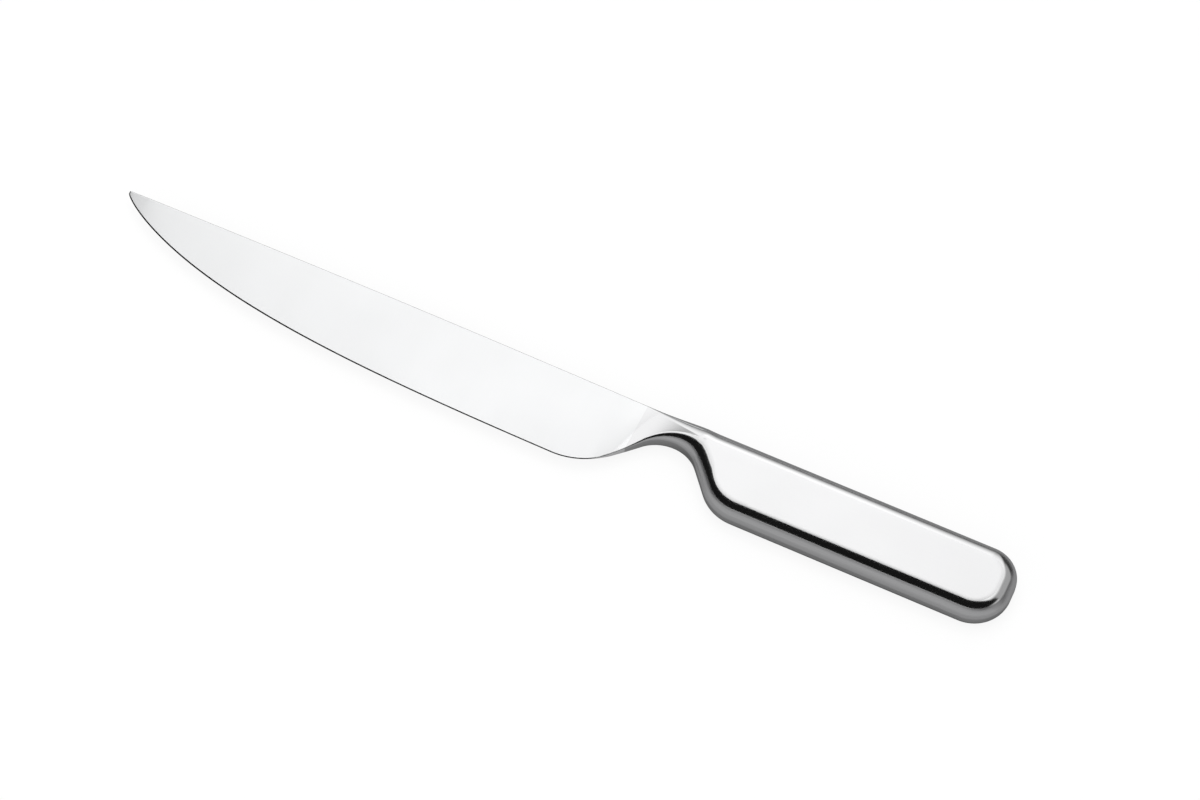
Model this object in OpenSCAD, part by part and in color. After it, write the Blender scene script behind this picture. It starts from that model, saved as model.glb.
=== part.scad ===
// Carving knife with a ground blade, a solid bolster and a hollow metal handle.
// It lies on its right side. X runs from the tip (minus) to the butt (plus), the spine is at +Y,
// the cutting edge is at -Y, and Z goes up through the thickness from the handle's lower face.

/* [Blade] */
// Length of the blade, from its tip to its joint with the bolster
blade_l = 201; // [170:1:230]
// Depth of the blade, from the spine down to the edge at the heel
blade_h = 29.5; // [27:0.5:34]
// Thickness of the spine in front of the bolster
spine_t = 2; // [1.8:0.1:2.6]
// Thickness of the spine at the tip
tip_t = 1; // [0.6:0.1:1.4]
// Height of the spine's shallow crown over a straight line from the bolster to the tip
spine_crown = 0.7; // [0:0.1:1.5]
// Height of the tip's upper corner over the line of the handle's back
tip_lift = 0.8; // [0:0.1:1.2]
// How full the swept edge is between the tip and the heel
edge_run = 6; // [4:0.5:8]
// How slender the sweep starts at the tip, from full to slender
edge_sweep = 0.81; // [0.7:0.01:0.9]
// Height of the fine nose at the very tip
nose_h = 1.1; // [0.6:0.1:1.6]
// Depth of the fine bevel ground along the cutting edge
bevel_h = 0.9; // [0.5:0.1:1.5]
// Thickness of the blade at the top of that bevel
bevel_t = 0.5; // [0.3:0.1:0.7]
// Radius of the curve that turns the edge up behind the heel
heel_r = 26; // [20:1:32]

/* [Bolster] */
// Length of the bolster, from the blade to the mouth of the handle shells
bolster_l = 46; // [44:1:54]
// Distance along the bolster from the blade to its narrowest place
waist_at = 14; // [12:0.5:16]
// Width of the bolster at its narrowest place
waist_w = 9.6; // [9:0.1:12]
// Radius of the finger notch on its blade side
notch_front_r = 13.5; // [10:0.5:15]
// Radius of the finger notch on its handle side
notch_back_r = 12.5; // [10:0.5:15]
// Steepness of the notch towards the heel, in degrees
notch_front_a = 47; // [44:1:50]
// Steepness of the notch towards the handle, in degrees
notch_back_a = 50; // [47:1:53]
// Radius where the notch turns into the handle's belly
shoulder_r = 16; // [12:0.5:18]
// Length over which the blade's face swells into the bolster's face
swell_l = 32; // [30:1:36]
// How far behind the narrowest place the bolster reaches the handle's thickness
swell_past_waist = 8.5; // [6:0.5:11]
// How much later than the edge side the spine side starts to swell
spine_swell_late = 8; // [4:0.5:12]
// How far behind the end of the swell the long edges reach their full radius
round_late = 4; // [2:0.5:8]
// Length of the spigot that the handle shells sit on
spigot_l = 8; // [5:1:12]

/* [Handle] */
// Length of the hollow handle shells
shell_l = 90; // [80:1:105]
// Width of the handle, from back to belly
handle_w = 27.6; // [25:0.2:30]
// Thickness of the handle, from face to face
handle_t = 10.7; // [9.6:0.1:13]
// Radius of the rounded long edges
edge_r = 4.4; // [3:0.1:4.6]
// Radius of the butt's corner on the back
butt_back_r = 11; // [8:0.5:12]
// Radius of the butt's corner on the belly
butt_belly_r = 13; // [9:0.5:13]
// Wall of the stamped shells
wall = 1.2; // [1:0.1:1.6]

/* [Tang] */
// Length of the tang behind the bolster's spigot
tang_reach = 34; // [20:1:50]
// Width of the tang
tang_w = 5.6; // [4:0.1:6]
// Thickness of the tang
tang_t = 1.4; // [1.2:0.1:1.6]
// Play between the tang and the slot in the bolster, on each side
slot_play = 0.05; // [0.03:0.01:0.1]
// Play between the spigot and the shells, on each side
spigot_play = 0.05; // [0.03:0.01:0.1]
// Gap that the filler leaves as it shrinks, on each side
shrink_gap = 0.05; // [0.03:0.01:0.1]

/* [Hidden] */

// Lengths along X
total_l = blade_l + bolster_l + shell_l;
tip_x = -total_l / 2;
joint_x = tip_x + blade_l;
waist_x = joint_x + waist_at;
mouth_x = joint_x + bolster_l;
spigot_x = mouth_x + spigot_l;
butt_x = mouth_x + shell_l;
tang_end_x = spigot_x + tang_reach;

// Heights across Y, measured from the middle of the handle
back_y = handle_w / 2;
heel_y = back_y - blade_h;
waist_y = back_y - waist_w;
tang_y = (back_y + waist_y) / 2 - 0.1 * waist_w;

// Half the width left at the sharp edge, and the spine's fine rounding
keen = 0.04;
spine_r = 0.2;

// Upper outline: the handle's straight back and the blade's crowned spine
function along(x) = clamp01((joint_x - x) / blade_l);
function upper_y(x) = back_y + tip_lift * along(x) + spine_crown * sin(180 * along(x));
top_y = max([for (i = [0:90]) upper_y(joint_x - blade_l * i / 90)]);

// The middle of the outline lies over the origin, and the blade's plane is half a handle up
shift_y = -(top_y + heel_y) / 2;
shift_z = handle_t / 2;

// Steps along the curves
tip_steps = 40;
heel_steps = 14;
bolster_steps = 40;
corner_steps = 9;
fillet_steps = 6;

function mix(a, b, t) = a + (b - a) * t;
function clamp01(t) = min(1, max(0, t));
// Even slope with soft ends, from 0 to 1
function soft(t) = mix(clamp01(t), pow(clamp01(t), 2) * (3 - 2 * clamp01(t)), 0.5);

// A rise between two level lines: an arc, a straight slope and a second arc
function slope_l(rise, r1, r2, a) = (rise - (r1 + r2) * (1 - cos(a))) / sin(a);
function rise_l(rise, r1, r2, a) = (r1 + r2) * sin(a) + slope_l(rise, r1, r2, a) * cos(a);
function rise_at(d, rise, r1, r2, a) =
    let (all = rise_l(rise, r1, r2, a))
    d <= 0 ? 0 :
    d < r1 * sin(a) ? r1 - sqrt(r1 * r1 - d * d) :
    d < all - r2 * sin(a) ? r1 * (1 - cos(a)) + (d - r1 * sin(a)) * tan(a) :
    d < all ? rise - r2 + sqrt(r2 * r2 - pow(all - d, 2)) : rise;
function steep_at(d, rise, r1, r2, a) =
    let (all = rise_l(rise, r1, r2, a))
    d <= 0 || d >= all ? 0 :
    d < r1 * sin(a) ? asin(d / r1) :
    d < all - r2 * sin(a) ? a : asin((all - d) / r2);

// The notch climbs from the heel to the waist, and from the belly to the waist
heel_rise = waist_y - heel_y;
belly_rise = waist_y + back_y;
heel_x = waist_x - rise_l(heel_rise, heel_r, notch_front_r, notch_front_a);
belly_x = waist_x + rise_l(belly_rise, shoulder_r, notch_back_r, notch_back_a);

// Lower outline: the swept cutting edge, the notch and the handle's belly. The edge uses
// the first part of a curve that keeps levelling out past the heel.
edge_part = 0.55;
function sweep(t) = pow(1 - pow(1 - t, edge_run), edge_sweep);
function edge_y(x) =
    let (t = edge_part * clamp01((x - tip_x) / (heel_x - tip_x)))
    mix(back_y + tip_lift - nose_h, heel_y, sweep(t) / sweep(edge_part));
function lower_y(x) =
    x < heel_x ? edge_y(x) :
    x < waist_x ? heel_y + rise_at(x - heel_x, heel_rise, heel_r, notch_front_r, notch_front_a) :
    -back_y + rise_at(belly_x - x, belly_rise, shoulder_r, notch_back_r, notch_back_a);
function lower_steepness(x) =
    x < waist_x ? steep_at(x - heel_x, heel_rise, heel_r, notch_front_r, notch_front_a) :
    steep_at(belly_x - x, belly_rise, shoulder_r, notch_back_r, notch_back_a);

// Half thickness along the lower outline and along the spine, and the radius of the long edges
swell_end_x = waist_x + swell_past_waist;
swell_x = swell_end_x - swell_l;
spine_swell_x = swell_x + spine_swell_late;
function lower_h(x) = mix(keen, handle_t / 2, soft((x - swell_x) / swell_l));
function spine_h(x) =
    let (swell = soft((x - spine_swell_x) / (swell_end_x - spine_swell_x)))
    mix(mix(spine_t, tip_t, along(x)) / 2, handle_t / 2, swell);
function long_edge_r(x) =
    mix(spine_r, edge_r, soft((x - joint_x) / (swell_end_x + round_late - joint_x)));

// Quarter round from the side of a section, at y, to its face, with the height h
function round_corner(y, h, r, ry) =
    [for (i = [0:fillet_steps])
        let (a = 90 * i / fillet_steps)
        [y + ry * (1 - cos(a)), h - r + r * sin(a)]];
function reversed(list) = [for (i = [len(list) - 1:-1:0]) list[i]];
// Whole section from its half on the upper side, as points in space
function both_sides(x, half) =
    [for (p = concat(half, [for (q = reversed(half)) [q[0], -q[1]]])) [x, p[0], p[1]]];
// Section of the bolster or the handle, drawn in by an inset
function bar_section(x, inset) =
    let (
        r = long_edge_r(x) - inset,
        low = lower_y(x) + inset,
        high = upper_y(x) - inset
    )
    both_sides(x, concat(
        round_corner(low, lower_h(x) - inset, r, r / cos(lower_steepness(x))),
        reversed(round_corner(high, spine_h(x) - inset, r, -r))));
// Section of the blade: edge, bevel, flat face and spine
function blade_section(x) =
    let (
        low = lower_y(x),
        high = upper_y(x),
        step = min(bevel_h, (high - low) / 3),
        keep = soft((x - swell_x) / swell_l),
        r = min(spine_r, (high - low) / 6)
    )
    both_sides(x, [
        [low, lower_h(x)],
        [low + step, lower_h(x) + mix(bevel_t / 2 - keen, 0, keep)],
        [high - r, spine_h(x)],
        [high, spine_h(x) - r]]);

// Skin through sections that have equally many points, closed at both ends
module loft(sections) {
    n = len(sections[0]);
    last = len(sections) - 1;
    polyhedron(
        points = [for (s = sections, p = s) p],
        faces = concat(
            [for (i = [0:last - 1], j = [0:n - 1])
                let (a = i * n + j, b = i * n + (j + 1) % n)
                each [[a, b, a + n], [b, b + n, a + n]]],
            [[for (j = [n - 1:-1:0]) j]],
            [[for (j = [0:n - 1]) last * n + j]]));
}

// Outline of the shells from the mouth's back round the butt to the mouth's belly, drawn in
// by an inset: each entry is a place on the outline and the direction that points inwards
function corner(x, y, r, from) =
    [for (i = [0:corner_steps])
        let (a = from - 90 * i / corner_steps)
        [[x + r * cos(a), y + r * sin(a)], [-cos(a), -sin(a)]]];
function shell_outline(from_x, inset) = concat(
    [[[from_x, back_y - inset], [0, -1]]],
    corner(butt_x - butt_back_r, back_y - butt_back_r, butt_back_r - inset, 90),
    corner(butt_x - butt_belly_r, butt_belly_r - back_y, butt_belly_r - inset, 0),
    [[[from_x, inset - back_y], [0, 1]]]);
// Rib that climbs from the side wall round the long edge to the face, at one outline place
function rib(place, inset) =
    [for (p = round_corner(0, handle_t / 2 - inset, edge_r - inset, edge_r - inset))
        [place[0][0] + place[1][0] * p[0], place[0][1] + place[1][1] * p[0], p[1]]];

// Upper half of the hollow handle: outer skin, inner skin, seam and mouth
module half_shell() {
    outer = [for (place = shell_outline(mouth_x, 0))
        concat([[place[0][0], place[0][1], 0]], rib(place, 0))];
    inner = [for (place = shell_outline(mouth_x, wall))
        concat([[place[0][0], place[0][1], 0]], rib(place, wall))];
    m = len(outer[0]);
    last = len(outer) - 1;
    deep = len(outer) * m;
    polyhedron(
        points = [for (skin = [outer, inner], r = skin, p = r) p],
        faces = concat(
            [for (k = [0:last - 1], j = [0:m - 2])
                let (a = k * m + j, b = deep + a)
                each [
                    [a, a + m, a + 1], [a + 1, a + m, a + m + 1],
                    [b, b + 1, b + m], [b + 1, b + m + 1, b + m]]],
            [[for (k = [0:last]) k * m + m - 1]],
            [[for (k = [last:-1:0]) deep + k * m + m - 1]],
            [for (k = [0:last - 1])
                let (a = k * m, b = deep + a)
                each [[a, b, a + m], [a + m, b, b + m]]],
            [for (j = [0:m - 2])
                let (b = deep + j)
                each [[j, j + 1, b], [b, j + 1, b + 1]]],
            [for (j = [0:m - 2])
                let (a = last * m + j, b = deep + a)
                each [[a, b, a + 1], [a + 1, b, b + 1]]],
            let (a = m - 1, b = last * m + m - 1)
            [[a, b, deep + a], [deep + a, b, deep + b]]));
}

// Solid that fills the handle from one place to the butt, with an inset from the outside
module handle_core(from_x, inset) {
    ribs = [for (place = shell_outline(from_x, inset))
        let (half = rib(place, inset))
        concat(reversed(half), [for (p = half) [p[0], p[1], -p[2]]])];
    m = len(ribs[0]);
    last = len(ribs) - 1;
    polyhedron(
        points = [for (r = ribs, p = r) p],
        faces = concat(
            [for (k = [0:last - 1], j = [0:m - 2])
                let (a = k * m + j)
                each [[a, a + 1, a + m], [a + 1, a + m + 1, a + m]]],
            [[for (k = [0:last]) k * m]],
            [[for (k = [last:-1:0]) k * m + m - 1]],
            [concat([for (j = [m - 1:-1:0]) j], [for (j = [0:m - 1]) last * m + j])]));
}

// Bar of the tang, or the space for it with play all round
module tang(from_x, play) {
    translate([from_x, tang_y - tang_w / 2 - play, -tang_t / 2 - play])
        cube([tang_end_x + play - from_x, tang_w + 2 * play, tang_t + 2 * play]);
}

// Everything is placed from the middle of the handle to the frame by this one move
module placed() {
    translate([0, shift_y, shift_z]) children();
}

// Ground blade with its heel, and the narrow tang that runs through the bolster
module blade() {
    tip_part = [for (i = [0:tip_steps]) mix(tip_x, heel_x, pow(i / tip_steps, 1.7))];
    heel_part = [for (i = [1:heel_steps]) mix(heel_x, joint_x, i / heel_steps)];
    color("gainsboro") placed() {
        loft([for (x = concat(tip_part, heel_part)) blade_section(x)]);
        tang(joint_x - 2, 0);
    }
}

// Solid bolster that swells from the blade to the handle round the finger notch
module bolster() {
    inset = wall + spigot_play;
    color("silver") placed() difference() {
        loft(concat(
            [for (i = [0:bolster_steps]) bar_section(mix(joint_x, mouth_x, i / bolster_steps), 0)],
            [bar_section(mouth_x, inset), bar_section(spigot_x, inset)]));
        tang(joint_x - 1, slot_play);
    }
}

// The two stamped halves of the handle, welded along the seam in the blade's plane
module handle_shell_left() {
    color("silver") placed() half_shell();
}
module handle_shell_right() {
    color("silver") placed() mirror([0, 0, 1]) half_shell();
}

// Cast filler that locks the tang in the hollow handle
module handle_filler() {
    color("tan") placed() difference() {
        handle_core(spigot_x + shrink_gap, wall + shrink_gap);
        tang(spigot_x - 1, shrink_gap);
    }
}

blade();
bolster();
handle_shell_left();
handle_shell_right();
handle_filler();
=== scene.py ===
# Carving knife: a satin blade, a polished bolster with a finger notch and a hollow steel handle.
# It lies on its right side on a pale floor. Sizes are in millimetres until a mesh is made.
import math

import bpy
import numpy as np
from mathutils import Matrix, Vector, geometry


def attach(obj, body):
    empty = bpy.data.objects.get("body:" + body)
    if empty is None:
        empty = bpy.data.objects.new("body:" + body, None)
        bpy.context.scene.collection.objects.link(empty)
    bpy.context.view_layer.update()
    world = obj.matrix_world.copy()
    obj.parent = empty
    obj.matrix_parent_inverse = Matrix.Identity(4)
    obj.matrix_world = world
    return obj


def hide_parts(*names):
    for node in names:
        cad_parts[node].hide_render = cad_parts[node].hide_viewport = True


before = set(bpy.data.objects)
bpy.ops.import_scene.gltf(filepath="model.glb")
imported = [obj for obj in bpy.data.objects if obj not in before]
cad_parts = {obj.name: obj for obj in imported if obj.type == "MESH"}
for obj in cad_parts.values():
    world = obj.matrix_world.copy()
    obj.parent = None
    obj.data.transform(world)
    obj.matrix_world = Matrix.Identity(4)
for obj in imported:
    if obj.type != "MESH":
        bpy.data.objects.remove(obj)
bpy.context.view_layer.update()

# ------------------------------------------------------------------------------------- Blade
# The blade is a strip of stainless knife steel, tapered from spine to edge and from bolster to
# tip, with a fine bevel along the edge. It is satin ground across its depth, and its narrow
# tang runs back through the bolster into the handle.
MM = 0.001
blade_length, blade_depth = 201.0, 29.5
spine_thickness, tip_thickness = 2.0, 1.0
spine_crown, tip_lift, nose_height, tip_slant = 0.7, 0.8, 1.1, 0.05
edge_run, edge_sweep, edge_part = 6, 0.81, 0.55
tip_bevel, heel_bevel, bevel_slant = 0.56, 0.4, 0.24
heel_radius = 26.0
keen_half, spine_rounding = 0.04, 0.3
tang_width, tang_thickness, tang_behind_spigot = 5.6, 1.4, 34.0

# The bolster and the handle share the blade's outline, so their sizes stand with it
bolster_length, spigot_length = 46.0, 8.0
waist_behind_joint, waist_width = 14.0, 9.6
notch_front_radius, notch_back_radius, shoulder_radius = 13.5, 12.5, 16.0
notch_front_angle, notch_back_angle = math.radians(47), math.radians(50)
swell_length, swell_past_waist, spine_swell_late, round_late = 32.0, 8.5, 8.0, 4.0
handle_length, handle_width, handle_thickness, handle_rounding = 90.0, 27.6, 10.7, 4.4
rounding_reach = 6.0 / 4.4   # the long edges run further over the face than down the side

tip_x = -(blade_length + bolster_length + handle_length) / 2
joint_x = tip_x + blade_length
waist_x = joint_x + waist_behind_joint
mouth_x = joint_x + bolster_length
spigot_x = mouth_x + spigot_length
butt_x = mouth_x + handle_length
tang_end_x = spigot_x + tang_behind_spigot
swell_end_x = waist_x + swell_past_waist
swell_x = swell_end_x - swell_length
spine_swell_x = swell_x + spine_swell_late

back_y = handle_width / 2
heel_y = back_y - blade_depth
waist_y = back_y - waist_width
tang_y = (back_y + waist_y) / 2 - 0.1 * waist_width


def mix(a, b, t):
    return a + (b - a) * t


def clamp01(t):
    return min(1.0, max(0.0, t))


def soft(t):
    """Even slope with soft ends, from 0 to 1."""
    t = clamp01(t)
    return mix(t, t * t * (3 - 2 * t), 0.5)


def climb_length(rise, r1, r2, a):
    slope = (rise - (r1 + r2) * (1 - math.cos(a))) / math.sin(a)
    return (r1 + r2) * math.sin(a) + slope * math.cos(a)


def climb(d, rise, r1, r2, a):
    """Height and steepness at d along an arc, a straight slope and a second arc."""
    whole = climb_length(rise, r1, r2, a)
    if d <= 0:
        return 0.0, 0.0
    if d < r1 * math.sin(a):
        return r1 - math.sqrt(r1 * r1 - d * d), math.asin(d / r1)
    if d < whole - r2 * math.sin(a):
        return r1 * (1 - math.cos(a)) + (d - r1 * math.sin(a)) * math.tan(a), a
    if d < whole:
        return rise - r2 + math.sqrt(r2 * r2 - (whole - d) ** 2), math.asin((whole - d) / r2)
    return rise, 0.0


heel_climb = (waist_y - heel_y, heel_radius, notch_front_radius, notch_front_angle)
belly_climb = (waist_y + back_y, shoulder_radius, notch_back_radius, notch_back_angle)
heel_x = waist_x - climb_length(*heel_climb)
belly_x = waist_x + climb_length(*belly_climb)


def upper_line(x):
    along = clamp01((joint_x - x) / blade_length)
    return back_y + tip_lift * along + spine_crown * math.sin(math.pi * along)


def edge_drop(t):
    return (1 - (1 - t) ** edge_run) ** edge_sweep


def lower_line(x):
    """Height and steepness of the edge, the finger notch and the handle's belly."""
    if x < heel_x:
        t = edge_part * clamp01((x - tip_x) / (heel_x - tip_x))
        return mix(back_y + tip_lift - nose_height, heel_y, edge_drop(t) / edge_drop(edge_part)), 0.0
    if x < waist_x:
        height, steep = climb(x - heel_x, *heel_climb)
        return heel_y + height, steep
    height, steep = climb(belly_x - x, *belly_climb)
    return height - back_y, steep


top_y = max(upper_line(joint_x - blade_length * i / 90) for i in range(91))
shift_y = -(top_y + heel_y) / 2
shift_z = handle_thickness / 2

ARC_STEPS, FACE_STEPS = 12, 14
CREASE_ROW = ARC_STEPS + 1   # the bevel's upper line


def half_section(x, inset=0.0):
    """Points (y, z) from the lower side round the face to the upper side, above mid-thickness."""
    low, steep = lower_line(x)
    high = upper_line(x)
    swell = soft((x - swell_x) / swell_length)
    low_half = mix(keen_half, handle_thickness / 2, swell)
    spine_half = mix(
        mix(spine_thickness, tip_thickness, clamp01((joint_x - x) / blade_length)) / 2,
        handle_thickness / 2,
        soft(clamp01((x - spine_swell_x) / (swell_end_x - spine_swell_x)) ** 1.4),
    )
    rounding = mix(spine_rounding, handle_rounding,
                   soft((x - joint_x) / (swell_end_x + round_late - joint_x)))
    bevel = min(mix(tip_bevel, heel_bevel, clamp01((x - tip_x) / (heel_x - tip_x))), (high - low) / 3)
    ground = low_half + bevel_slant * bevel
    r_low, r_high = rounding, rounding
    if x < joint_x:
        # The blade thins out towards its fine tip
        spine_half = min(spine_half, ground + tip_slant * (high - low))
        r_low, r_high = min(r_low, 0.6 * low_half), min(r_high, 0.6 * spine_half, (high - low) / 6)
    low, high = low + inset, high - inset
    low_half, spine_half = low_half - inset, spine_half - inset
    r_low, r_high = r_low - inset, r_high - inset
    reach, reach_high = rounding_reach * r_low / math.cos(steep), rounding_reach * r_high
    points = []
    for i in range(ARC_STEPS + 1):
        a = math.pi / 2 * i / ARC_STEPS
        points.append((low + reach * (1 - math.cos(a)), low_half - r_low + r_low * math.sin(a)))
    y0, y1 = low + reach, high - reach_high
    y_bevel = low + max(bevel, reach + 0.1)
    on_line = mix(low_half, spine_half, (y_bevel - y0) / (y1 - y0))
    fade = soft((x - swell_x) / (joint_x - swell_x))
    z_bevel = mix(ground, on_line, fade) if x < joint_x else on_line
    for i in range(FACE_STEPS + 1):
        t = i / FACE_STEPS
        points.append((mix(y_bevel, y1, t), mix(z_bevel, spine_half, t)))
    for i in range(1, ARC_STEPS + 1):
        a = math.pi / 2 * (1 - i / ARC_STEPS)
        points.append((high - reach_high * (1 - math.cos(a)), spine_half - r_high + r_high * math.sin(a)))
    return np.array(points)


def full_section(x, inset=0.0):
    """Ring of points in the frame: up the left half, then down the right half."""
    half = half_section(x, inset)
    ring = np.concatenate([half, half[::-1] * (1, -1)])
    return np.column_stack([np.full(len(ring), x), ring[:, 0] + shift_y, ring[:, 1] + shift_z])


def unit(v):
    return v / np.maximum(np.linalg.norm(v, axis=-1, keepdims=True), 1e-12)


def skin(stations, spread):
    """Rings at the stations, with the normals before and after each row; spread softens them."""
    rings = np.array([full_section(x) for x in stations])
    ahead = np.array([full_section(x + s) for x, s in zip(stations, spread)])
    behind = np.array([full_section(max(x - s, tip_x)) for x, s in zip(stations, spread)])
    along = ahead - behind
    n = rings.shape[1]
    step = np.roll(rings, -1, axis=1) - rings          # from a row to the next
    smooth = step + np.roll(step, 1, axis=1)
    after, before = smooth.copy(), smooth.copy()
    for row in (CREASE_ROW, n - 1 - CREASE_ROW):
        after[:, row] = step[:, row]
        before[:, row] = step[:, row - 1]
    # The flat upper and lower walls start square to the rounding beside them
    for row in (0, n // 2 - 1, n // 2, n - 1):
        after[:, row] = before[:, row] = (0, 0, 1 if row in (0, n - 1) else -1)
    return rings, unit(np.cross(after, along)), unit(np.cross(before, along))


def make_mesh(name, points, faces, normals):
    """Mesh from points in millimetres; normals has one list per face, or None where it is flat."""
    mesh = bpy.data.meshes.new(name)
    mesh.from_pydata([tuple(p) for p in np.asarray(points) * MM], [], faces)
    mesh.update()
    loops = []
    for polygon, given in zip(mesh.polygons, normals):
        flat = tuple(polygon.normal)
        loops.extend([flat] * len(polygon.vertices) if given is None else [tuple(v) for v in given])
    mesh.shade_smooth()
    flats = {key for polygon, given in zip(mesh.polygons, normals) if given is None
             for key in polygon.edge_keys}
    for edge in mesh.edges:
        edge.use_edge_sharp = edge.key in flats
    mesh.normals_split_custom_set(loops)
    piece = bpy.data.objects.new(name, mesh)
    bpy.context.collection.objects.link(piece)
    return piece


def lofted_sides(rings, after, before):
    """Quads between neighbouring rings, with their corner normals."""
    count, n = rings.shape[:2]
    faces, normals = [], []
    for i in range(count - 1):
        for j in range(n):
            k = (j + 1) % n
            faces.append((i * n + j, i * n + k, (i + 1) * n + k, (i + 1) * n + j))
            normals.append((after[i, j], before[i, k], before[i + 1, k], after[i + 1, j]))
    return faces, normals


def plate_with_hole(ring, first, hole, hole_first):
    """Triangles of a flat end between a ring and the hole in it."""
    shown = [[Vector(p) for p in ring], [Vector(p) for p in hole]]
    index = [first + i for i in range(len(ring))] + [hole_first + i for i in range(len(hole))]
    return [tuple(index[i] for i in t) for t in geometry.tessellate_polygon(shown)]


def turned(points, faces, direction):
    """The same triangles, each turned so that it looks in the direction."""
    points = np.asarray(points)
    kept = []
    for a, b, c in faces:
        across = np.cross(points[b] - points[a], points[c] - points[a])
        kept.append((a, b, c) if across[0] * direction > 0 else (a, c, b))
    return kept


def bar_ring(x, grow=0.0):
    """Corners of the tang's section at x, or of the slot for it."""
    half_w, half_t = tang_width / 2 + grow, tang_thickness / 2 + grow
    return np.array([(x, tang_y + shift_y + y * half_w, shift_z + z * half_t)
                     for y, z in ((-1, -1), (1, -1), (1, 1), (-1, 1))])


tip_stations = [mix(tip_x, heel_x, (i / 150) ** 1.7) for i in range(151)]
heel_stations = [mix(heel_x, joint_x, i / 44) for i in range(1, 45)]
stations = tip_stations + heel_stations
spread = [mix(0.2, 1.5, clamp01((x - tip_x) / 60)) for x in stations]
rings, after, before = skin(stations, spread)
n = rings.shape[1]
points = list(rings.reshape(-1, 3))
faces, normals = lofted_sides(rings, after, before)
faces.append(tuple(range(n - 1, -1, -1)))
normals.append(None)
tang_root = len(points)
points += list(bar_ring(joint_x)) + list(bar_ring(tang_end_x))
end_plate = plate_with_hole(rings[-1], (len(stations) - 1) * n, bar_ring(joint_x), tang_root)
end_plate = turned(points, end_plate, 1)
tang_sides = [(tang_root + i, tang_root + (i + 1) % 4, tang_root + 4 + (i + 1) % 4, tang_root + 4 + i)
              for i in range(4)]
tang_tip = [tuple(tang_root + 4 + i for i in range(4))]
faces += end_plate + tang_sides + tang_tip
normals += [None] * (len(end_plate) + 5)
blade = make_mesh("blade_steel_body", points, faces, normals)


def put(tree, kind, settings=None, **inputs):
    """A node of this kind with its settings; an input is a value or another node's output."""
    node = tree.nodes.new(kind)
    for key, value in (settings or {}).items():
        setattr(node, key, value)
    for key, value in inputs.items():
        socket = node.inputs[int(key[1:])] if key[0] == "i" and key[1:].isdigit() else node.inputs[
            key.replace("_", " ")]
        if isinstance(value, bpy.types.NodeSocket):
            tree.links.new(value, socket)
        else:
            socket.default_value = value
    return node


def new_group(name, inputs, outputs):
    """Shader node group with named sockets: (name, kind, value) and (name, kind)."""
    tree = bpy.data.node_groups.new(name, "ShaderNodeTree")
    for label, kind, value in inputs:
        socket = tree.interface.new_socket(name=label, in_out="INPUT", socket_type=kind)
        if value is not None:
            socket.default_value = value
    for label, kind in outputs:
        tree.interface.new_socket(name=label, in_out="OUTPUT", socket_type=kind)
    return tree, tree.nodes.new("NodeGroupInput"), tree.nodes.new("NodeGroupOutput")


# Fine lines that an abrasive belt leaves: long one way, close together the other way
grain, given, result = new_group(
    "belt ground lines",
    [("Position", "NodeSocketVector", None), ("Lines per metre", "NodeSocketVector", (1.0, 1.0, 1.0)),
     ("Contrast", "NodeSocketFloat", 1.0)],
    [("Lines", "NodeSocketFloat"), ("Clouds", "NodeSocketFloat")])
stretched = put(grain, "ShaderNodeVectorMath", {"operation": "MULTIPLY"},
                i0=given.outputs["Position"], i1=given.outputs["Lines per metre"])
close_lines = put(grain, "ShaderNodeTexNoise", {"noise_dimensions": "3D"},
                  Vector=stretched.outputs[0], Scale=1.0, Detail=3.0, Roughness=0.6)
wide_clouds = put(grain, "ShaderNodeTexNoise", {"noise_dimensions": "3D"},
                  Vector=given.outputs["Position"], Scale=38.0, Detail=2.0, Roughness=0.5)
centred = put(grain, "ShaderNodeMath", {"operation": "SUBTRACT"}, i0=close_lines.outputs[0], i1=0.5)
stronger = put(grain, "ShaderNodeMath", {"operation": "MULTIPLY_ADD"},
               i0=centred.outputs[0], i1=given.outputs["Contrast"], i2=0.5)
grain.links.new(stronger.outputs[0], result.inputs["Lines"])
grain.links.new(wide_clouds.outputs[0], result.inputs["Clouds"])

# The belt works on what looks sideways and on the flat faces; the roundings between are buffed
# The Side mask also paints the sides' colour darker than the faces': painted shade.
sides, given, result = new_group(
    "belt finish and painted side shade",
    [("Normal", "NodeSocketVector", None), ("Side limit", "NodeSocketFloat", 0.87),
     ("Flat limit", "NodeSocketFloat", 0.9885)],
    [("Side", "NodeSocketFloat"), ("Flat", "NodeSocketFloat")])
parts = put(sides, "ShaderNodeSeparateXYZ", i0=given.outputs["Normal"])
upright = put(sides, "ShaderNodeMath", {"operation": "ABSOLUTE"}, i0=parts.outputs[2])
below = put(sides, "ShaderNodeMath", {"operation": "SUBTRACT"},
            i0=given.outputs["Side limit"], i1=upright.outputs[0])
sharp = put(sides, "ShaderNodeMath", {"operation": "MULTIPLY_ADD", "use_clamp": True},
            i0=below.outputs[0], i1=24.0, i2=0.5)
sides.links.new(sharp.outputs[0], result.inputs["Side"])
above = put(sides, "ShaderNodeMath", {"operation": "SUBTRACT"},
            i0=upright.outputs[0], i1=given.outputs["Flat limit"])
sharp = put(sides, "ShaderNodeMath", {"operation": "MULTIPLY_ADD", "use_clamp": True},
            i0=above.outputs[0], i1=200.0, i2=0.5)
sides.links.new(sharp.outputs[0], result.inputs["Flat"])


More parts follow.
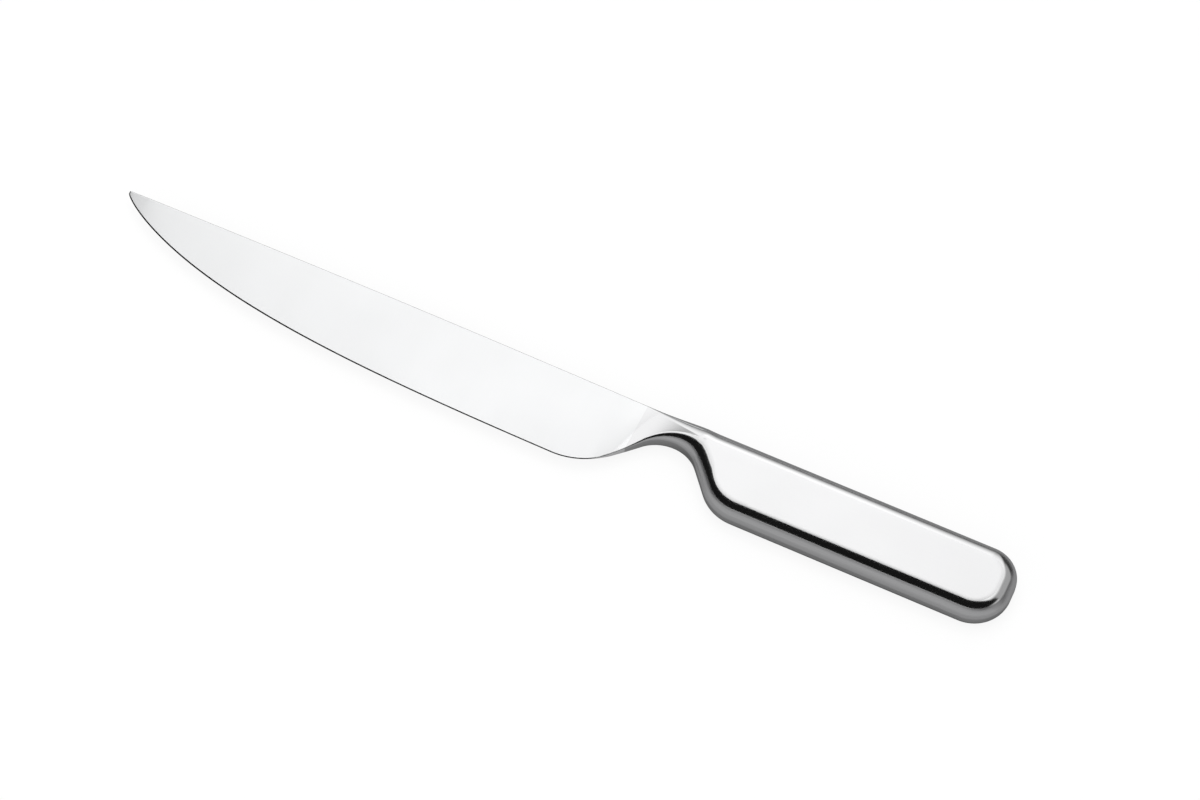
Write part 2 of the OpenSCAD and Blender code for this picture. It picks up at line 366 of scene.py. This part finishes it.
def steel(name, face_tone, face_rough, face_lines, painted_shade_side_tone, side_rough, buffed_rough, glance, lift):
    """Ground steel: a face finish with its own lines, belt finished sides whose colour is painted darker than
    the faces as shade, buffed roundings.
    """
    material = bpy.data.materials.new(name)
    material.use_nodes = True
    tree = material.node_tree
    shader = tree.nodes["Principled BSDF"]
    shader.inputs["Metallic"].default_value = 1.0
    shader.inputs["Specular Tint"].default_value = (glance, glance, glance, 1)
    place = put(tree, "ShaderNodeTexCoord")
    side = put(tree, "ShaderNodeGroup", {"node_tree": sides}, Normal=place.outputs["Normal"])
    face_grain = put(tree, "ShaderNodeGroup", {"node_tree": grain},
                     Position=place.outputs["Object"], Lines_per_metre=face_lines, Contrast=1.0)
    side_grain = put(tree, "ShaderNodeGroup", {"node_tree": grain}, Position=place.outputs["Object"],
                     Lines_per_metre=(18.0, 18.0, 3600.0), Contrast=1.2)
    lines = put(tree, "ShaderNodeMix", {"data_type": "FLOAT"}, i0=side.outputs["Side"],
                i2=face_grain.outputs["Lines"], i3=side_grain.outputs["Lines"])
    # The sides' tones are painted much darker than the faces': painted shade for the grey the sides reflect,
    # under the real belt grain.
    dark = put(tree, "ShaderNodeMix", {"data_type": "RGBA"}, i0=side.outputs["Side"],
               i6=face_tone[0], i7=painted_shade_side_tone[0])
    light = put(tree, "ShaderNodeMix", {"data_type": "RGBA"}, i0=side.outputs["Side"],
                i6=face_tone[1], i7=painted_shade_side_tone[1])
    tone = put(tree, "ShaderNodeMix", {"data_type": "RGBA"}, i0=lines.outputs[0],
               i6=dark.outputs[2], i7=light.outputs[2])
    tree.links.new(tone.outputs[2], shader.inputs["Base Color"])
    upper_rough = put(tree, "ShaderNodeMix", {"data_type": "FLOAT"}, i0=side.outputs["Flat"],
                      i2=buffed_rough, i3=face_rough)
    base_rough = put(tree, "ShaderNodeMix", {"data_type": "FLOAT"}, i0=side.outputs["Side"],
                     i2=upper_rough.outputs[0], i3=side_rough)
    cloudy = put(tree, "ShaderNodeMath", {"operation": "MULTIPLY_ADD"},
                 i0=face_grain.outputs["Clouds"], i1=0.05, i2=base_rough.outputs[0])
    rough = put(tree, "ShaderNodeMath", {"operation": "MULTIPLY_ADD"},
                i0=lines.outputs[0], i1=0.06, i2=cloudy.outputs[0])
    tree.links.new(rough.outputs[0], shader.inputs["Roughness"])
    bump = put(tree, "ShaderNodeBump", Strength=lift, Distance=0.00002, Height=lines.outputs[0])
    tree.links.new(bump.outputs[0], shader.inputs["Normal"])
    return material


# The blade's side tones are painted dark as shade on its spine and edge bevel.
blade.data.materials.append(steel(
    "satin knife steel",
    ((0.82, 0.825, 0.83, 1), (0.85, 0.855, 0.86, 1)), 0.27, (4200.0, 50.0, 50.0),
    ((0.36, 0.36, 0.365, 1), (0.46, 0.46, 0.465, 1)), 0.30, 0.08, 0.8, 0.05))
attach(blade, "root")
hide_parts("blade")

# ----------------------------------------------------------------------------------- Bolster
# The bolster is solid steel, welded to the blade's heel. Its faces swell from the blade to the
# handle's thickness round the finger notch, and a spigot behind it carries the handle shells.
shell_wall, spigot_play, slot_play = 1.2, 0.05, 0.05
stations = [mix(joint_x, mouth_x, i / 120) for i in range(121)]
rings, after, before = skin(stations, [1.5] * len(stations))
points = list(rings.reshape(-1, 3))
faces, normals = lofted_sides(rings, after, before)
inset = shell_wall + spigot_play
step_in = len(points)
points += list(full_section(mouth_x, inset)) + list(full_section(spigot_x, inset))
last_ring = (len(stations) - 1) * n
for first, second in ((last_ring, step_in), (step_in, step_in + n)):
    for j in range(n):
        k = (j + 1) % n
        faces.append((first + j, first + k, second + k, second + j))
        normals.append(None)
slot_root = len(points)
slot = [bar_ring(joint_x, slot_play), bar_ring(spigot_x, slot_play)]
points += list(slot[0]) + list(slot[1])
front = turned(points, plate_with_hole(rings[0], 0, slot[0], slot_root), -1)
back = turned(points, plate_with_hole(points[step_in + n:step_in + 2 * n], step_in + n,
                                      slot[1], slot_root + 4), 1)
inside = [(slot_root + i, slot_root + 4 + i, slot_root + 4 + (i + 1) % 4, slot_root + (i + 1) % 4)
          for i in range(4)]
faces += front + back + inside
normals += [None] * (len(front) + len(back) + 4)
bolster = make_mesh("bolster_body", points, faces, normals)
# The handle's side tones are painted very dark as shade for the grey band along its sides.
polished = steel(
    "polished handle steel",
    ((0.745, 0.745, 0.75, 1), (0.775, 0.775, 0.78, 1)), 0.24, (70.0, 2600.0, 70.0),
    ((0.215, 0.215, 0.218, 1), (0.29, 0.29, 0.294, 1)), 0.28, 0.05, 0.6, 0.10)
bolster.data.materials.append(polished)
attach(bolster, "root")
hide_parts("bolster")

# ----------------------------------------------------------------------------- Handle shells
# Two stamped halves of sheet steel meet on a welded and ground seam in the blade's plane. They
# slide over the bolster's spigot and are welded round its mouth; the seams are polished out.
butt_back_radius, butt_belly_radius = 11.0, 13.0
CORNER_STEPS, RIB_STEPS = 40, 16


def shell_outline(inset):
    """Places on the handle's outline and the way in, from the mouth's back round the butt."""
    places = [((mouth_x, back_y - inset), (0.0, -1.0))]
    for x, y, r, start in (
            (butt_x - butt_back_radius, back_y - butt_back_radius, butt_back_radius - inset, 90),
            (butt_x - butt_belly_radius, butt_belly_radius - back_y, butt_belly_radius - inset, 0)):
        for i in range(CORNER_STEPS + 1):
            a = math.radians(start - 90 * i / CORNER_STEPS)
            places.append(((x + r * math.cos(a), y + r * math.sin(a)), (-math.cos(a), -math.sin(a))))
    places.append(((mouth_x, inset - back_y), (0.0, 1.0)))
    return places


def shell_skin(inset):
    """Columns from the seam round the long edge to the face, with their normals."""
    columns, looks = [], []
    r, reach = handle_rounding - inset, handle_rounding * rounding_reach - inset
    for (px, py), (ix, iy) in shell_outline(inset):
        column, look = [(px, py + shift_y, 0.0)], [(-ix, -iy, 0.0)]
        for i in range(RIB_STEPS + 1):
            a = math.pi / 2 * i / RIB_STEPS
            d = reach * (1 - math.cos(a))
            side_part, face_part = r * math.cos(a), reach * math.sin(a)
            size = math.hypot(side_part, face_part)
            column.append((px + ix * d, py + iy * d + shift_y,
                           handle_thickness / 2 - inset - r + r * math.sin(a)))
            look.append((-ix * side_part / size, -iy * side_part / size, face_part / size))
        columns.append(column)
        looks.append(look)
    return np.array(columns), np.array(looks)


outer, outer_look = shell_skin(0.0)
inner, inner_look = shell_skin(shell_wall)
m, count = outer.shape[1], outer.shape[0]
deep, last = count * m, count - 1
for name, up in (("handle_shell_left_body", 1), ("handle_shell_right_body", -1)):
    points = np.concatenate([outer.reshape(-1, 3), inner.reshape(-1, 3)]) * (1, 1, up)
    points = points + (0, 0, shift_z)
    faces, normals = [], []
    for k in range(last):
        for j in range(m - 1):
            a = k * m + j
            faces.append((a, a + m, a + m + 1, a + 1))
            normals.append([outer_look[k, j], outer_look[k + 1, j],
                            outer_look[k + 1, j + 1], outer_look[k, j + 1]])
            faces.append((deep + a, deep + a + 1, deep + a + m + 1, deep + a + m))
            normals.append([-inner_look[k, j], -inner_look[k, j + 1],
                            -inner_look[k + 1, j + 1], -inner_look[k + 1, j]])
        faces.append((k * m, deep + k * m, deep + (k + 1) * m, (k + 1) * m))
        normals.append(None)
    faces.append(tuple(k * m + m - 1 for k in range(count)))
    faces.append(tuple(deep + k * m + m - 1 for k in range(last, -1, -1)))
    for j in range(m - 1):
        faces.append((j, j + 1, deep + j + 1, deep + j))
        faces.append((last * m + j, deep + last * m + j, deep + last * m + j + 1, last * m + j + 1))
    faces.append((m - 1, last * m + m - 1, deep + last * m + m - 1, deep + m - 1))
    normals += [None] * (len(faces) - len(normals))
    # The outline runs clockwise from above, so the left half's faces are turned over, and the
    # right half, a mirror image, keeps them
    if up > 0:
        faces = [tuple(reversed(f)) for f in faces]
        normals = [g if g is None else list(reversed(g)) for g in normals]
    normals = [g if g is None else [v * (1, 1, up) for v in g] for g in normals]
    shell = make_mesh(name, points, faces, normals)
    shell.data.materials.append(polished)
    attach(shell, "root")
    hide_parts(name.removesuffix("_body"))

# ------------------------------------------------------------------------------------ Filler
# The filler is a pale casting resin that locks the tang in the hollow handle. It is hidden
# when the knife is whole, so its CAD shape stays and only gets its matt, mottled resin look.
resin = bpy.data.materials.new("casting resin")
resin.use_nodes = True
tree = resin.node_tree
shader = tree.nodes["Principled BSDF"]
shader.inputs["Roughness"].default_value = 0.7
place = put(tree, "ShaderNodeTexCoord")
mottle = put(tree, "ShaderNodeTexNoise", Vector=place.outputs["Object"], Scale=220.0, Detail=4.0)
tone = put(tree, "ShaderNodeMix", {"data_type": "RGBA"}, i0=mottle.outputs[0],
           i6=(0.52, 0.40, 0.24, 1), i7=(0.68, 0.56, 0.38, 1))
tree.links.new(tone.outputs[2], shader.inputs["Base Color"])
pores = put(tree, "ShaderNodeBump", Strength=0.3, Distance=0.0002, Height=mottle.outputs[0])
tree.links.new(pores.outputs[0], shader.inputs["Normal"])
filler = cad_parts["handle_filler"]
for material_slot in filler.material_slots:
    material_slot.material = resin

# ------------------------------------------------------------------------------------- Floor
# A wide pale floor lies under the knife. It is white where it is seen and reflected, with a painted
# contact shadow in that white next to the knife, and part of it is plain matt colour, so that it keeps the
# knife's soft shadow.
bpy.ops.mesh.primitive_circle_add(vertices=96, radius=6.0, fill_type="NGON", location=(0, 0, -0.0002))
floor = bpy.context.object
floor.name = "floor"
pale = bpy.data.materials.new("pale floor")
pale.use_nodes = True
tree = pale.node_tree
tree.nodes.remove(tree.nodes["Principled BSDF"])
ray = put(tree, "ShaderNodeLightPath")
seen = put(tree, "ShaderNodeMath", {"operation": "MAXIMUM"},
           i0=ray.outputs["Is Camera Ray"], i1=ray.outputs["Is Glossy Ray"])
seen = put(tree, "ShaderNodeMath", {"operation": "MAXIMUM"},
           i0=seen.outputs[0], i1=ray.outputs["Is Transmission Ray"])
# Painted contact shadow: ambient occlusion darkens the white glow, narrowly where it is seen, and wider and
# deeper where the steel reflects it
painted_shadow_reach = put(tree, "ShaderNodeMath", {"operation": "MULTIPLY_ADD"},
           i0=ray.outputs["Is Glossy Ray"], i1=0.006, i2=0.0012)
painted_contact_shadow = put(tree, "ShaderNodeAmbientOcclusion", {"samples": 8}, Distance=painted_shadow_reach.outputs[0])
painted_shadow_depth = put(tree, "ShaderNodeMath", {"operation": "MULTIPLY_ADD"},
             i0=ray.outputs["Is Glossy Ray"], i1=1.4, i2=1.0)
shade = put(tree, "ShaderNodeMath", {"operation": "POWER"},
            i0=painted_contact_shadow.outputs["AO"], i1=painted_shadow_depth.outputs[0])
glow = put(tree, "ShaderNodeMath", {"operation": "MULTIPLY"}, i0=seen.outputs[0], i1=shade.outputs[0])
white = put(tree, "ShaderNodeEmission", Color=(1, 1, 1, 1), Strength=glow.outputs[0])
matt = put(tree, "ShaderNodeBsdfDiffuse", Color=(0.95, 0.95, 0.95, 1))
both = put(tree, "ShaderNodeMixShader", i0=0.13, i1=white.outputs[0], i2=matt.outputs[0])
tree.links.new(both.outputs[0], tree.nodes["Material Output"].inputs["Surface"])
floor.data.materials.append(pale)

# ------------------------------------------------------------------------------------- Light
# A plain studio: a broad white panel behind the knife with grey gauze at its right, a pale room
# round it and a dark ceiling over it, which together draw the polished edges.
world = bpy.data.worlds.new("studio")
bpy.context.scene.world = world
world.use_nodes = True
tree = world.node_tree
direction = put(tree, "ShaderNodeTexCoord")
axes = put(tree, "ShaderNodeSeparateXYZ", i0=direction.outputs["Generated"])
lean = put(tree, "ShaderNodeMath", {"operation": "ARCTAN2"}, i0=axes.outputs[1], i1=axes.outputs[2])
high = put(tree, "ShaderNodeMath", {"operation": "MAXIMUM"}, i0=axes.outputs[2], i1=0.05)
sideways = put(tree, "ShaderNodeMath", {"operation": "DIVIDE"}, i0=axes.outputs[0], i1=high.outputs[0])


def fades(value, first, second):
    """0 up to the first value and 1 from the second on, with a soft change between them."""
    return put(tree, "ShaderNodeMapRange", {"interpolation_type": "SMOOTHSTEP"},
               Value=value, i1=first, i2=second, i3=0.0, i4=1.0).outputs[0]


def times(*values):
    product = values[0]
    for value in values[1:]:
        product = put(tree, "ShaderNodeMath", {"operation": "MULTIPLY"}, i0=product, i1=value).outputs[0]
    return product


def blend(factor, first, second):
    return put(tree, "ShaderNodeMix", {"data_type": "FLOAT"}, i0=factor, i2=first, i3=second).outputs[0]


def sums(value, factor, more):
    return put(tree, "ShaderNodeMath", {"operation": "MULTIPLY_ADD"}, i0=value, i1=factor, i2=more).outputs[0]


lean, sideways, across = lean.outputs[0], sideways.outputs[0], axes.outputs[0]
ceiling = times(fades(lean, math.radians(-38), math.radians(-31)),
                fades(sideways, -2.6, -1.9), fades(across, 0.75, 0.6))
# The panel's lower edge rises to the left, and its right side hangs in grey gauze
past_left = put(tree, "ShaderNodeMath", {"operation": "MINIMUM"}, i0=sums(sideways, 1.0, 0.33), i1=0.0)
panel = times(fades(sums(past_left.outputs[0], 0.5, lean), math.radians(8), math.radians(13)),
              fades(sideways, -1.8, -1.3), fades(sideways, 0.5, 0.2))
gauze = times(fades(lean, math.radians(12), math.radians(18)),
              fades(lean, math.radians(64), math.radians(54)), fades(across, 0.2, 0.3))
off_centre = sums(sideways, 1.0, 0.25)
bright = put(tree, "ShaderNodeMath", {"operation": "MAXIMUM"},
             i0=sums(times(off_centre, off_centre), -9.0, 1.52), i1=1.17).outputs[0]
bright = times(bright, fades(lean, math.radians(95), math.radians(40)))
dim = blend(fades(lean, math.radians(5), math.radians(25)), 0.008, 0.06)
room = blend(fades(lean, math.radians(-25), math.radians(-45)), 0.95, 1.3)
level = blend(ceiling, room, dim)
level = blend(gauze, level, 0.44)
level = blend(panel, level, bright)
background = tree.nodes["Background"]
tree.links.new(level, background.inputs["Strength"])
background.inputs["Color"].default_value = (1, 1, 1, 1)

# A wide soft lamp overhead fills in on matt surfaces only, so the steel doesn't mirror it
fill = bpy.data.lights.new("soft top light", "AREA")
fill.shape, fill.size, fill.energy = "DISK", 1.6, 14.0
lamp = bpy.data.objects.new("soft top light", fill)
lamp.location = (0, 0, 1.5)
lamp.visible_glossy = False
bpy.context.collection.objects.link(lamp)

# ------------------------------------------------------------------------------------ Camera
# The camera looks down on the knife from its edge side, as in a catalogue picture.
view = bpy.data.cameras.new("catalogue view")
view.lens, view.sensor_width = 85.0, 36.0
view.clip_start, view.clip_end = 0.01, 50.0
camera = bpy.data.objects.new("catalogue view", view)
camera.location = (0.22243, -0.41961, 0.83009)
camera.rotation_euler = (math.radians(30), 0, math.radians(25.597))
bpy.context.collection.objects.link(camera)
bpy.context.scene.camera = camera
bpy.context.scene.view_settings.view_transform = "Standard"
